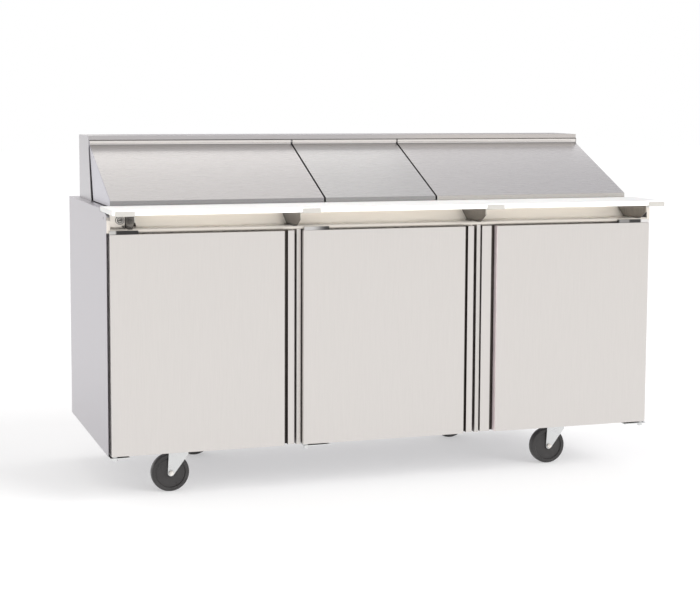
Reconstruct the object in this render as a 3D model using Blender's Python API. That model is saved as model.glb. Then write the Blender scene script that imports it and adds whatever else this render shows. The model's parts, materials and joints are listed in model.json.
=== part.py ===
"""Refrigerated sandwich prep table: a three-door cabinet on swivel casters, a rail of
food pans under three sloping lids, and a cutting board on brackets along the front.

Everything is drawn in the bench frame, in metres: x from the left side of the cabinet,
y from the front plane of the doors towards the back, z from the floor. The empty
"table" shifts that frame so that the origin is under the middle of the whole table.
"""

import math

import bmesh
import bpy
from mathutils import Matrix, Vector

# ---------------------------------------------------------------- driving dimensions
WIDTH = 1.829
BACK = 0.7457
DECK_TOP = 0.9036
CABINET_BOTTOM = 0.152
GAP = 0.0003

WALL = 0.045
FACE = 0.059
SKIN = 0.0012
SKIN_FRONT = 0.0241
FLOOR_TOP = 0.200
REAR_WALL_FRONT = 0.690
DECK_BOTTOM = 0.880
DECK_FRONT = 0.1303

NOSE_WIDTH = 0.010
NOSE_FRONT = 0.0101
RAIL_BOTTOM = 0.810
FASCIA_BOTTOM = 0.836
FASCIA_BACK = 0.130
LEDGE_FRONT_Z = 0.849
LEDGE_BACK = (0.070, 0.848)
SLOPE_TOP = (0.116, 0.8793)
BOARD_BED = 0.8945

# Doors: main face, then a pull groove, then an edge strip set back from the face.
DOOR_BOTTOM, DOOR_TOP = 0.1554, 0.8321
DOOR_THICK = 0.048
GROOVE_DEPTH = 0.030
STRIP_SETBACK = 0.015
DOORS = {
    "left": {"hinge": 0.0069, "face_end": 0.5519, "strip": 0.5666, "edge": 0.5877},
    "centre": {"hinge": 0.6131, "face_end": 1.1576, "strip": 1.1734, "edge": 1.1935},
    "right": {"hinge": 1.8228, "face_end": 1.2698, "strip": 1.2554, "edge": 1.2225},
}
PIVOT_IN = 0.012
PIN_RADIUS = 0.004
GASKET_INSET = 0.005
GASKET_WIDTH = 0.014
GASKET_BACK = 0.0578
TOP_HINGES = {"left": (0.006, 0.094), "centre": (0.615, 0.697), "right": (1.708, 1.8225)}
BOTTOM_HINGES = {"left": (0.003, 0.063), "centre": (0.618, 0.701), "right": (1.748, 1.826)}
HINGE_PLATE = 0.003
HINGE_LIP_TOP = 0.8430

# Posts between the doors: trim strip, face and the web that carries the shelves.
MULLIONS = {
    "left": {"trim": (0.5970, 0.6099), "post": (0.566, 0.635), "web": 0.6005},
    "right": {"trim": (1.2064, 1.2192), "post": (1.172, 1.257), "web": 1.2145},
}
TRIM_FRONT = 0.022
WEB = 0.020
WEB_BACK = 0.5375
WEB_TOP = 0.740
SHELF_RAIL = 0.015
SHELF_BOTTOM = 0.435
SHELF_THICK = 0.008
SHELF_Y = (0.115, 0.530)

# Cutting board and its brackets: gusset plane, lip span and flange span of each.
BOARD = {"front": -0.0849, "back": 0.1245, "bottom": 0.8948, "thick": 0.0152}
LIP_THICK = 0.0017
LIP_RISE = 0.0125
SHEET = 0.002
BRACKETS = [
    {"x": 0.0664, "lip": (0.0081, 0.0674), "flange": (0.0110, 0.0674)},
    {"x": 0.5776, "lip": (0.5842, 0.6418), "flange": (0.5766, 0.6418)},
    {"x": 1.1916, "lip": (1.1958, 1.2554), "flange": (1.1906, 1.2554)},
    {"x": 1.7644, "lip": (1.7722, 1.8290), "flange": (1.7634, 1.8180)},
]
LOCK = {"x": 0.048, "z": 0.871, "face": 0.060, "bezel": 0.0125, "plug": 0.0070}

# Lids and the hood behind them.
HOOD_X = (0.028, 1.8005)
HOOD_Y = (0.5096, 0.6957)
HOOD_TOP = 1.1153
CAP_BOTTOM = 1.1018
HOOD_SHEET = 0.0025
HOOD_FRONT_WALL = 0.5235
PIVOT = (0.5125, 1.0928)
BARREL = 0.0073
LID_SPANS = {"left": (0.0310, 0.7202), "centre": (0.7262, 1.1036), "right": (1.1096, 1.7975)}
LUG = 0.0024
LID_LIP = {"y": 0.1287, "bottom": 0.9098, "top": 0.9240}
LID_SLOPE = math.radians(23.14)
LID_SHEET = 0.004
LID_FLANGE = {"front": 0.5062, "back": 0.5110, "top": 1.0985}
CHEEK = 0.002
CHEEK_BOTTOM = 0.907
HOOD_CHEEK = ((0.5052, 1.080), (0.460, DECK_TOP + GAP))
LID_PIN = 0.0025

# Food pans: half size, one row of six.
PAN_COUNT = 6
PAN_PITCH = 0.270
PAN_RIM = (0.265, 0.325)
PAN_BODY = (0.243, 0.303)
PAN_FLOOR = (0.223, 0.283)
PAN_DEPTH = 0.150
PAN_WALL = 0.0015
PAN_Y = 0.320
PAN_OPENING = {"x": (0.060, 1.769), "y": (0.164, 0.476)}
LEDGE = 0.003
GRID_BAR = 0.008

# Casters, as (hub x, wheel centre y). The swivel sits to the right of the hub.
CASTERS = {
    "front_left": (0.2178, 0.155),
    "front_right": (1.5318, 0.155),
    "rear_left": (0.406, 0.635),
    "rear_right": (1.367, 0.635),
}
CASTER_TRAIL = 0.028
WHEEL_RADIUS = 0.061
WHEEL_HALF = 0.015
AXLE = 0.005

# Machine compartment in the back wall, and what it holds.
MACHINE_X = (0.600, 1.230)
MACHINE_Z = (0.2203, 0.450)
MACHINE_FRONT = 0.570
MACHINE_WALL = 0.030
COMPRESSOR = {"x": 0.720, "y": 0.655, "radius": 0.070}
CONDENSER = {"x": (0.960, 1.220), "z": (0.2206, 0.440), "coil": (0.695, 0.735)}
CONDENSER_FAN = {"x": 1.090, "z": 0.330, "radius": 0.088, "y": (0.663, 0.687)}
EVAPORATOR = {"x": (0.660, 1.160), "y": (0.600, 0.6895), "z": (0.500, 0.700)}
EVAPORATOR_FAN = {"x": 1.040, "z": 0.600, "radius": 0.078, "y": (0.606, 0.630)}

FRONT = BOARD["front"] - GAP - LIP_THICK

FINISHES = {
    "door steel": ((0.72, 0.70, 0.68, 1), 1.0, 0.35),
    "panel steel": ((0.62, 0.61, 0.63, 1), 1.0, 0.38),
    "zinc": ((0.70, 0.71, 0.71, 1), 1.0, 0.40),
    "white polymer": ((0.90, 0.90, 0.88, 1), 0.0, 0.45),
    "black rubber": ((0.02, 0.02, 0.02, 1), 0.0, 0.70),
    "wheel polymer": ((0.03, 0.03, 0.03, 1), 0.0, 0.55),
    "black enamel": ((0.015, 0.015, 0.017, 1), 0.2, 0.45),
    "coil aluminium": ((0.75, 0.76, 0.77, 1), 1.0, 0.50),
    "coated wire": ((0.80, 0.81, 0.80, 1), 0.1, 0.40),
    "chrome": ((0.80, 0.80, 0.80, 1), 1.0, 0.15),
}


# ---------------------------------------------------------------- shapes
def material(finish):
    """The Principled material of a finish, made the first time it is asked for."""
    found = bpy.data.materials.get(finish)
    if found:
        return found
    made = bpy.data.materials.new(finish)
    made.use_nodes = True
    shader = made.node_tree.nodes["Principled BSDF"]
    colour, metallic, roughness = FINISHES[finish]
    shader.inputs["Base Color"].default_value = colour
    shader.inputs["Metallic"].default_value = metallic
    shader.inputs["Roughness"].default_value = roughness
    return made


def mesh_object(bm):
    """Turn a bmesh into an object of the scene, with its faces pointing out."""
    bmesh.ops.recalc_face_normals(bm, faces=bm.faces)
    mesh = bpy.data.meshes.new("shape")
    bm.to_mesh(mesh)
    bm.free()
    obj = bpy.data.objects.new("shape", mesh)
    bpy.context.scene.collection.objects.link(obj)
    return obj


def point(axis, a, b, along):
    """A point from its place in the plane across an axis and its place along it."""
    return {"x": (along, a, b), "y": (a, along, b), "z": (a, b, along)}[axis]


def prism(axis, outline, start, end):
    """A closed outline swept along an axis from start to end."""
    bm = bmesh.new()
    low = [bm.verts.new(point(axis, a, b, start)) for a, b in outline]
    high = [bm.verts.new(point(axis, a, b, end)) for a, b in outline]
    bm.faces.new(low)
    bm.faces.new(high)
    for i in range(len(outline)):
        j = (i + 1) % len(outline)
        bm.faces.new((low[i], low[j], high[j], high[i]))
    return mesh_object(bm)


def block(x, y, z):
    """A box from its spans along x, y and z."""
    outline = [(x[0], y[0]), (x[1], y[0]), (x[1], y[1]), (x[0], y[1])]
    return prism("z", outline, *z)


def arc(centre, radius, start, end, steps):
    """Points of an arc from one angle to another, in degrees; radius may be a pair."""
    across, up = radius if isinstance(radius, tuple) else (radius, radius)
    angles = [math.radians(start + (end - start) * i / steps) for i in range(steps + 1)]
    return [(centre[0] + across * math.cos(a), centre[1] + up * math.sin(a)) for a in angles]


def rod(axis, centre, radius, start, end, sides=24):
    """A cylinder along an axis."""
    return prism(axis, arc(centre, radius, 0, 360, sides)[:-1], start, end)


def turned(axis, centre, profile, sides=28):
    """A closed profile of (radius, along) points turned round an axis."""
    bm = bmesh.new()
    rings = []
    for i in range(sides):
        turn = 2 * math.pi * i / sides
        ring = []
        for radius, along in profile:
            a = centre[0] + radius * math.cos(turn)
            b = centre[1] + radius * math.sin(turn)
            ring.append(bm.verts.new(point(axis, a, b, along)))
        rings.append(ring)
    for i, ring in enumerate(rings):
        following = rings[(i + 1) % sides]
        for j in range(len(profile)):
            k = (j + 1) % len(profile)
            bm.faces.new((ring[j], ring[k], following[k], following[j]))
    return mesh_object(bm)


def lattice(axis, across, up, filled, start, end):
    """A flat plate drawn on a grid: cells where filled(i, j) is true are solid."""
    bm = bmesh.new()
    corners = {}

    def corner(i, j, along):
        key = (i, j, along)
        if key not in corners:
            corners[key] = bm.verts.new(point(axis, across[i], up[j], along))
        return corners[key]

    cells = {
        (i, j)
        for i in range(len(across) - 1)
        for j in range(len(up) - 1)
        if filled(i, j)
    }
    for i, j in cells:
        square = [(i, j), (i + 1, j), (i + 1, j + 1), (i, j + 1)]
        for along in (start, end):
            bm.faces.new([corner(*c, along) for c in square])
        beyond = [(i, j - 1), (i + 1, j), (i, j + 1), (i - 1, j)]
        for side, neighbour in enumerate(beyond):
            if neighbour in cells:
                continue
            a, b = square[side], square[(side + 1) % 4]
            wall = (corner(*a, start), corner(*b, start), corner(*b, end), corner(*a, end))
            bm.faces.new(wall)
    return mesh_object(bm)


def steps_of(edges):
    """Every edge of a row of bars, flattened: (start, end) pairs to one sorted list."""
    return [value for pair in edges for value in pair]


def loft(centre, rings, corner_steps=3):
    """Rounded rectangles (z, width, depth, corner radius) joined from first to last."""
    bm = bmesh.new()
    loops = []
    for z, width, depth, radius in rings:
        inner_x, inner_y = width / 2 - radius, depth / 2 - radius
        corners = [(1, 1, 0), (-1, 1, 90), (-1, -1, 180), (1, -1, 270)]
        outline = []
        for sx, sy, start in corners:
            middle = (centre[0] + sx * inner_x, centre[1] + sy * inner_y)
            outline += arc(middle, radius, start, start + 90, corner_steps)
        loops.append([bm.verts.new((x, y, z)) for x, y in outline])
    bm.faces.new(loops[0])
    bm.faces.new(loops[-1])
    for lower, upper in zip(loops, loops[1:]):
        for i in range(len(lower)):
            j = (i + 1) % len(lower)
            bm.faces.new((lower[i], lower[j], upper[j], upper[i]))
    return mesh_object(bm)


def part(name, base, finish, hollow=(), fuse=(), cut=(), origin=(0, 0, 0), parent=None):
    """Name a sub-part and shape it: hollow it out, then weld shapes on, then cut.

    origin is the part's own origin in the bench frame, on its joint's axis if it moves.
    """
    holder = parent or bpy.data.objects["table"]
    for operation, tools in (("DIFFERENCE", hollow), ("UNION", fuse), ("DIFFERENCE", cut)):
        for tool in tools:
            tool.name = f"{name}_{operation.lower()}"
            tool.parent = bpy.data.objects["table"]
            tool.hide_render = True
            tool.display_type = "WIRE"
            step = base.modifiers.new(operation.title(), "BOOLEAN")
            step.operation = operation
            step.object = tool
    base.name = name
    base.data.name = name
    base.data.transform(Matrix.Translation(-Vector(origin)))
    base.parent = holder
    base.location = Vector(origin) - Vector(holder.get("bench_origin", (0, 0, 0)))
    base["bench_origin"] = origin
    base.data.materials.append(material(finish))
    base.data.shade_smooth()
    base.data.set_sharp_from_angle(angle=math.radians(35))
    return base


# ---------------------------------------------------------------- cabinet
def side_panel(name, outer, inward):
    """Insulated side wall with a thin front skin and the nose that ends the fascia."""

    def span(near, far):
        return tuple(sorted((outer + inward * near, outer + inward * far)))

    crown = arc((0.045, 0.874), (0.045 - NOSE_FRONT, BOARD_BED - 0.874), 180, 90, 6)
    nose = [(NOSE_FRONT, FASCIA_BOTTOM), *crown, (DECK_FRONT + 0.001, BOARD_BED)]
    nose += [(DECK_FRONT + 0.001, RAIL_BOTTOM), (FACE + 0.001, RAIL_BOTTOM)]
    nose += [(FACE + 0.001, FASCIA_BOTTOM)]
    wall_top = FASCIA_BOTTOM - GAP
    shelf_z = (SHELF_BOTTOM - GAP - 0.010, SHELF_BOTTOM - GAP)
    welds = [
        block(span(0, WALL), (DECK_FRONT, BACK), (RAIL_BOTTOM, DECK_TOP)),
        block(span(0, SKIN), (SKIN_FRONT, FACE + 0.010), (CABINET_BOTTOM, FASCIA_BOTTOM + 0.004)),
        prism("x", nose, *span(0, NOSE_WIDTH)),
        block(span(WALL - 0.005, WALL + SHELF_RAIL), SHELF_Y, shelf_z),
    ]
    wall = block(span(0, WALL), (FACE, BACK), (CABINET_BOTTOM, wall_top))
    part(name, wall, "panel steel", fuse=welds)


def inner_span():
    return (WALL + GAP, WIDTH - WALL - GAP)


def fascia():
    """Front rail: bullnose, ledge, sloping hand recess, lock block and door head rail."""
    radius = (LEDGE_FRONT_Z - FASCIA_BOTTOM) / 2
    bull = arc((NOSE_FRONT + radius, FASCIA_BOTTOM + radius), radius, 270, 90, 8)
    outline = [*bull, LEDGE_BACK, SLOPE_TOP, (SLOPE_TOP[0], BOARD_BED)]
    outline += [(FASCIA_BACK, BOARD_BED), (FASCIA_BACK, FASCIA_BOTTOM)]
    ends = (NOSE_WIDTH + GAP, WIDTH - NOSE_WIDTH - GAP)
    head_rail = block(inner_span(), (FACE, FASCIA_BACK), (RAIL_BOTTOM, FASCIA_BOTTOM + 0.004))
    lock_x = (ends[0], BRACKETS[0]["x"] - 0.0024)
    lock_block = block(lock_x, (LOCK["face"], SLOPE_TOP[0] + 0.002), (0.840, BOARD_BED))
    bore = rod("y", (LOCK["x"], LOCK["z"]), LOCK["plug"] + 0.0005, 0.050, 0.098)
    body = prism("x", outline, *ends)
    part("fascia", body, "door steel", fuse=[head_rail, lock_block], cut=[bore])


def deck_frame():
    """Top deck with the pan opening, stepped inside to carry the pan grid."""
    (x0, x1), (y0, y1) = PAN_OPENING["x"], PAN_OPENING["y"]
    deck = block(inner_span(), (DECK_FRONT, BACK), (DECK_BOTTOM, DECK_TOP))
    upper = block((x0, x1), (y0, y1), (DECK_BOTTOM + LEDGE, DECK_TOP + 0.01))
    lower_x, lower_y = (x0 + LEDGE, x1 - LEDGE), (y0 + LEDGE, y1 - LEDGE)
    lower = block(lower_x, lower_y, (DECK_BOTTOM - 0.01, DECK_TOP))
    part("deck_frame", deck, "panel steel", cut=[upper, lower])


def floor_panel():
    shape = block(inner_span(), (FACE, REAR_WALL_FRONT - GAP), (CABINET_BOTTOM, FLOOR_TOP))
    part("floor_panel", shape, "panel steel")


def back_panel():
    """Rear wall with the machine compartment sunk into it from behind."""
    wall = block(inner_span(), (REAR_WALL_FRONT, BACK), (CABINET_BOTTOM, DECK_BOTTOM - GAP))
    (x0, x1), (z0, z1) = MACHINE_X, MACHINE_Z
    hump_x = (x0 - MACHINE_WALL, x1 + MACHINE_WALL)
    hump_y = (MACHINE_FRONT - MACHINE_WALL, BACK - 0.010)
    hump = block(hump_x, hump_y, (FLOOR_TOP + GAP, z1 + MACHINE_WALL))
    hollow = block((x0, x1), (MACHINE_FRONT, BACK + 0.010), (z0, z1))
    part("back_panel", wall, "panel steel", fuse=[hump], cut=[hollow])


def mullion(side):
    """Post between two doors: bright trim strip, insulated post and shelf web."""
    size = MULLIONS[side]
    inside = (FLOOR_TOP + GAP, RAIL_BOTTOM - GAP)
    web = (size["web"] - WEB / 2, size["web"] + WEB / 2)
    rail = (web[0] - SHELF_RAIL, web[1] + SHELF_RAIL)
    rail_z = (SHELF_BOTTOM - GAP - 0.010, SHELF_BOTTOM - GAP)
    trim_z = (CABINET_BOTTOM + 0.0005, FASCIA_BOTTOM - 0.0005)
    welds = [
        block(size["trim"], (FACE - 0.010, FACE + 0.010), inside),
        block(size["trim"], (TRIM_FRONT, FACE - GAP), trim_z),
        block(web, (0.100, WEB_BACK), (inside[0], WEB_TOP)),
        block(rail, (0.100, SHELF_Y[1]), rail_z),
    ]
    post = block(size["post"], (FACE, 0.110), inside)
    part(f"mullion_{side}", post, "door steel", fuse=welds)


def shelves():
    """One wire shelf for each bay: cross rails under a row of front-to-back wires."""
    left, right = MULLIONS["left"]["web"], MULLIONS["right"]["web"]
    bays = {
        "left": (WALL, left - WEB / 2),
        "centre": (left + WEB / 2, right - WEB / 2),
        "right": (right + WEB / 2, WIDTH - WALL),
    }
    wire, wires = 0.006, 12
    rows = [(y, y + wire) for y in (SHELF_Y[0], 0.318, SHELF_Y[1] - wire)]
    for bay, (x0, x1) in bays.items():
        start, end = x0 + 0.005, x1 - 0.005
        pitch = (end - start - wire) / (wires - 1)
        columns = [(start + pitch * i, start + pitch * i + wire) for i in range(wires)]

        def filled(i, j):
            return i % 2 == 0 or j % 2 == 0

        z = (SHELF_BOTTOM, SHELF_BOTTOM + SHELF_THICK)
        shape = lattice("z", steps_of(columns), steps_of(rows), filled, *z)
        part(f"shelf_{bay}", shape, "coated wire")


# ---------------------------------------------------------------- doors
def door(side):
    """A door with its vertical pull groove, the holes for its pins and its gasket."""
    size = DOORS[side]
    outward = 1 if size["edge"] > size["hinge"] else -1
    pivot = (size["hinge"] + outward * PIVOT_IN, PIVOT_IN)
    outline = [
        (size["hinge"], 0),
        (size["face_end"], 0),
        (size["face_end"], GROOVE_DEPTH),
        (size["strip"], GROOVE_DEPTH),
        (size["strip"], STRIP_SETBACK),
        (size["edge"], STRIP_SETBACK),
        (size["edge"], DOOR_THICK),
        (size["hinge"], DOOR_THICK),
    ]
    leaf = prism("z", outline, DOOR_BOTTOM, DOOR_TOP)
    hole = PIN_RADIUS + 0.0005
    cuts = [
        rod("z", pivot, hole, DOOR_BOTTOM - 0.005, DOOR_BOTTOM + 0.016),
        rod("z", pivot, hole, DOOR_TOP - 0.016, DOOR_TOP + 0.005),
    ]
    origin = (pivot[0], pivot[1], DOOR_BOTTOM)
    leaf = part(f"door_{side}", leaf, "door steel", cut=cuts, origin=origin)

    x0, x1 = sorted((size["hinge"], size["edge"]))
    xs = [x0 + GASKET_INSET, x0 + GASKET_INSET + GASKET_WIDTH]
    xs += [x1 - GASKET_INSET - GASKET_WIDTH, x1 - GASKET_INSET]
    zs = [DOOR_BOTTOM + GASKET_INSET, DOOR_BOTTOM + GASKET_INSET + GASKET_WIDTH]
    zs += [DOOR_TOP - GASKET_INSET - GASKET_WIDTH, DOOR_TOP - GASKET_INSET]
    ring = lattice("y", xs, zs, lambda i, j: (i, j) != (1, 1), DOOR_THICK + GAP, GASKET_BACK)
    part(f"gasket_{side}", ring, "black rubber", origin=origin, parent=leaf)
    hinge_brackets(side, pivot)


def hinge_brackets(side, pivot):
    """Top plate under the fascia and bottom plate under the cabinet, with their pins."""
    z1 = FASCIA_BOTTOM - GAP
    plate = block(TOP_HINGES[side], (0.002, 0.056), (z1 - HINGE_PLATE, z1))
    lip_x = (TOP_HINGES[side][0] + 0.0003, TOP_HINGES[side][1] - 0.0003)
    lip = block(lip_x, (0.001, NOSE_FRONT - 0.0008), (z1 - HINGE_PLATE + 0.0003, HINGE_LIP_TOP))
    pin = rod("z", pivot, PIN_RADIUS, DOOR_TOP - 0.012, z1 - 0.001)
    part(f"hinge_top_{side}", plate, "zinc", fuse=[lip, pin])

    z1 = CABINET_BOTTOM - GAP
    plate = block(BOTTOM_HINGES[side], (-0.001, 0.080), (z1 - HINGE_PLATE, z1))
    welds = [
        rod("z", pivot, PIN_RADIUS, z1 - 0.002, DOOR_BOTTOM + 0.012),
        rod("z", pivot, 0.008, z1 - 0.002, DOOR_BOTTOM - 0.0005),
        rod("z", pivot, 0.0075, z1 - 0.011, z1 - 0.001),
    ]
    part(f"hinge_bottom_{side}", plate, "zinc", fuse=welds)


# ---------------------------------------------------------------- board and lock
def cutting_board():
    z = (BOARD["bottom"], BOARD["bottom"] + BOARD["thick"])
    slab = block((0, WIDTH), (BOARD["front"], BOARD["back"]), z)
    part("cutting_board", slab, "white polymer", origin=(WIDTH / 2, BOARD["front"], z[0]))


def board_bracket(number, size):
    """Sheet bracket: gusset, flange under the board, front lip, foot and rear flange."""
    x = (size["x"] - SHEET / 2, size["x"] + SHEET / 2)
    bed = (BOARD_BED - SHEET, BOARD_BED)
    chin, heel = (FRONT, 0.8763), (-0.0435, 0.8502)
    toe = (LEDGE_BACK[0] + 0.0008, heel[1])
    top = (SLOPE_TOP[0] - 0.0006, SLOPE_TOP[1] + 0.0012)
    gusset = [(FRONT, BOARD_BED), chin, heel, toe, top, (top[0], BOARD_BED)]
    rise = SHEET * 1.2
    rear = [toe, top, (top[0] - rise, top[1]), (toe[0] - rise, toe[1])]
    lip_y = (FRONT, FRONT + LIP_THICK)
    lip_top = BOARD["bottom"] + LIP_RISE
    foot_x = (size["x"] - 0.012, size["x"])
    rear_x = (size["x"], size["x"] + 0.034)
    welds = [
        block(size["flange"], (FRONT, LOCK["face"] - 0.005), bed),
        block(size["lip"], lip_y, (bed[0], lip_top)),
        block(foot_x, (heel[0], LOCK["face"] - 0.002), (heel[1], heel[1] + SHEET)),
        prism("x", rear, *rear_x),
    ]
    part(f"board_bracket_{number}", prism("x", gusset, *x), "zinc", fuse=welds)


def lock():
    """Keyed lock on the fascia: a fixed bezel and the plug that the key turns."""
    centre = (LOCK["x"], LOCK["z"])
    inner = LOCK["plug"] + 0.0005
    face = LOCK["face"] - GAP
    rim = [(inner, face), (inner, face - 0.004), (inner + 0.001, face - 0.005)]
    rim += [(LOCK["bezel"] - 0.0015, face - 0.005), (LOCK["bezel"], face - 0.0035)]
    rim += [(LOCK["bezel"], face)]
    part("lock_bezel", turned("y", centre, rim), "chrome")
    keyway = block(
        (centre[0] - 0.0009, centre[0] + 0.0009),
        (face - 0.010, face + 0.004),
        (centre[1] - 0.0045, centre[1] + 0.0035),
    )
    plug = rod("y", centre, LOCK["plug"], face - 0.0035, face + 0.032)
    origin = (centre[0], face, centre[1])
    part("lock_plug", plug, "chrome", cut=[keyway], origin=origin)


# ---------------------------------------------------------------- lids and hood
def slope_height(y):
    """Height of a lid's top surface at a place between front and back."""
    return LID_LIP["top"] + (y - LID_LIP["y"]) * math.tan(LID_SLOPE)


def lid(side):
    """A sheet lid: front lip, sloping panel, rear flange, hinge barrel and end cheeks."""
    x0, x1 = LID_SPANS[side]
    drop = LID_SHEET / math.cos(LID_SLOPE)
    lip, back = LID_LIP["y"], PIVOT[0]
    outline = [
        (lip, LID_LIP["bottom"]),
        (lip, LID_LIP["top"]),
        (back, slope_height(back)),
        (back, slope_height(back) - drop),
        (lip + 0.003, slope_height(lip + 0.003) - drop),
        (lip + 0.003, LID_LIP["bottom"]),
    ]
    (hood_top_y, hood_top_z), (hood_low_y, hood_low_z) = HOOD_CHEEK
    lean = (hood_top_y - hood_low_y) / (hood_top_z - hood_low_z)
    rear_low = hood_low_y + (CHEEK_BOTTOM - hood_low_z) * lean - 0.028
    rear_top = hood_top_y - 0.008
    cheek = [
        (lip + 0.001, CHEEK_BOTTOM),
        (lip + 0.001, slope_height(lip) - 0.001),
        (rear_top, slope_height(rear_top) - 0.001),
        (rear_top, hood_top_z),
        (rear_low, CHEEK_BOTTOM),
    ]
    foot = slope_height(LID_FLANGE["front"]) - 0.002
    flange = [
        (LID_FLANGE["front"], foot),
        (LID_FLANGE["front"], LID_FLANGE["top"]),
        (LID_FLANGE["back"], LID_FLANGE["top"]),
        (LID_FLANGE["back"], foot),
    ]
    welds = [
        rod("x", PIVOT, BARREL, x0, x1, 20),
        prism("x", cheek, x0, x0 + CHEEK),
        prism("x", cheek, x1 - CHEEK, x1),
        prism("x", flange, x0, x1),
    ]
    cuts = [
        rod("x", PIVOT, LID_PIN + 0.0005, x0 - 0.005, x0 + 0.014, 16),
        rod("x", PIVOT, LID_PIN + 0.0005, x1 - 0.014, x1 + 0.005, 16),
    ]
    panel = prism("x", outline, x0, x1)
    origin = (x0, *PIVOT)
    part(f"lid_{side}", panel, "door steel", fuse=welds, cut=cuts, origin=origin)


def hood():
    """Sheet hood with a cap over the lid barrels, end cheeks, hinge lugs and pins."""
    floor = DECK_TOP + GAP
    (y0, y1), front = HOOD_Y, HOOD_FRONT_WALL
    outline = [(y1, floor), (y1, HOOD_TOP), (y0, HOOD_TOP), (y0, CAP_BOTTOM)]
    outline += [(front, CAP_BOTTOM), (front, floor)]
    t = HOOD_SHEET
    hollow = [(y1 - t, floor - 0.01), (y1 - t, HOOD_TOP - t), (front + t, HOOD_TOP - t)]
    hollow += [(front + t, floor - 0.01)]
    (cheek_y, cheek_z), low = HOOD_CHEEK
    cheek = [(y1, floor), (y1, HOOD_TOP), (y0, HOOD_TOP), (y0, CAP_BOTTOM)]
    cheek += [(cheek_y, CAP_BOTTOM - 0.0007), (cheek_y, cheek_z), low]
    x0, x1 = HOOD_X
    pin_z = (PIVOT[1] - 0.0055, PIVOT[1] + 0.0055)
    welds = [prism("x", cheek, x0, x0 + t), prism("x", cheek, x1 - t, x1)]
    welds += [rod("x", PIVOT, LID_PIN, x0 + 0.001, x0 + 0.015, 16)]
    welds += [rod("x", PIVOT, LID_PIN, x1 - 0.015, x1 - 0.001, 16)]
    for left, right in (("left", "centre"), ("centre", "right")):
        middle = (LID_SPANS[left][1] + LID_SPANS[right][0]) / 2
        lug = (middle - LUG / 2, middle + LUG / 2)
        welds += [block(lug, (PIVOT[0], front + t / 2), pin_z)]
        welds += [rod("x", PIVOT, 0.0068, *lug, 20)]
        welds += [rod("x", PIVOT, LID_PIN, middle - 0.013, middle + 0.013, 16)]
    shell = prism("x", outline, x0, x1)
    inside = prism("x", hollow, x0 + t, x1 - t)
    part("hood", shell, "panel steel", hollow=[inside], fuse=welds)


# ---------------------------------------------------------------- pans
def pan_centres():
    first = WIDTH / 2 - PAN_PITCH * (PAN_COUNT - 1) / 2
    return [first + PAN_PITCH * i for i in range(PAN_COUNT)]


def food_pans():
    """Open pans that hang by their rims on the deck and the pan grid."""
    rim = DECK_TOP + GAP
    wall = PAN_WALL
    bottom = rim - PAN_DEPTH
    for number, x in enumerate(pan_centres(), 1):
        rings = [
            (bottom, *PAN_FLOOR, 0.030),
            (rim, *PAN_BODY, 0.030),
            (rim, *PAN_RIM, 0.030),
            (rim + wall, *PAN_RIM, 0.030),
            (rim + wall, PAN_BODY[0] - 2 * wall, PAN_BODY[1] - 2 * wall, 0.0285),
            (bottom + wall, PAN_FLOOR[0] - 2 * wall, PAN_FLOOR[1] - 2 * wall, 0.0285),
        ]
        part(f"food_pan_{number}", loft((x, PAN_Y), rings), "panel steel")


def pan_grid():
    """Removable grid in the deck opening: thin rails with a bar between every two pans."""
    (x0, x1), (y0, y1) = PAN_OPENING["x"], PAN_OPENING["y"]
    slack = GAP + 0.0001
    bars = [x - PAN_PITCH / 2 for x in pan_centres()] + [pan_centres()[-1] + PAN_PITCH / 2]
    pairs = [(x - GRID_BAR / 2, x + GRID_BAR / 2) for x in bars]
    pairs[0] = (x0 + slack, pairs[0][1])
    pairs[-1] = (pairs[-1][0], x1 - slack)
    rail = 0.0025
    ys = [y0 + slack, y0 + slack + rail, y1 - slack - rail, y1 - slack]
    z = (DECK_BOTTOM + LEDGE + GAP, DECK_TOP - GAP)
    shape = lattice("z", steps_of(pairs), ys, lambda i, j: i % 2 == 0 or j != 1, *z)
    part("pan_grid", shape, "panel steel")


# ---------------------------------------------------------------- casters
def caster(place, hub_x, y):
    """Swivel caster: top plate with raceway, fork with its axle, and the wheel."""
    swivel = (hub_x + CASTER_TRAIL, y)
    top = CABINET_BOTTOM - GAP
    plate_x = (swivel[0] - 0.050, swivel[0] + 0.050)
    plate = block(plate_x, (y - 0.040, y + 0.040), (top - 0.003, top))
    raceway = rod("z", swivel, 0.030, top - 0.0147, top - 0.002)
    part(f"caster_plate_{place}", plate, "zinc", fuse=[raceway])

    hub = (hub_x, WHEEL_RADIUS)
    crown = 0.130
    leg = [(hub_x - 0.0065, crown), (hub_x + 0.056, crown), (hub_x + 0.056, 0.118)]
    leg += arc(hub, 0.0105, -35, -180, 8)
    inner, outer = 0.0175, 0.0200
    head_x = (hub_x - 0.0055, hub_x + 0.055)
    head = block(head_x, (y - outer + 0.001, y + outer - 0.001), (crown - 0.003, crown - 0.0002))
    welds = [
        prism("y", leg, y - outer, y - inner),
        prism("y", leg, y + inner, y + outer),
        rod("z", swivel, 0.027, crown - 0.001, top - 0.0152),
        rod("y", hub, AXLE, y - 0.023, y + 0.023, 16),
    ]
    origin = (*swivel, crown)
    fork = part(f"caster_fork_{place}", head, "zinc", fuse=welds, origin=origin)

    bore, rim, half = AXLE + 0.0006, WHEEL_RADIUS, WHEEL_HALF
    side = [(bore, half + 0.001), (0.015, half + 0.001), (0.046, half - 0.004)]
    side += [(0.0485, half), (rim - 0.004, half), (rim, half - 0.004)]
    profile = [(r, y - along) for r, along in side]
    profile += [(r, y + along) for r, along in reversed(side)]
    wheel = turned("y", hub, profile, 24)
    origin = (hub_x, y, WHEEL_RADIUS)
    part(f"caster_wheel_{place}", wheel, "wheel polymer", origin=origin, parent=fork)


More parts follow.
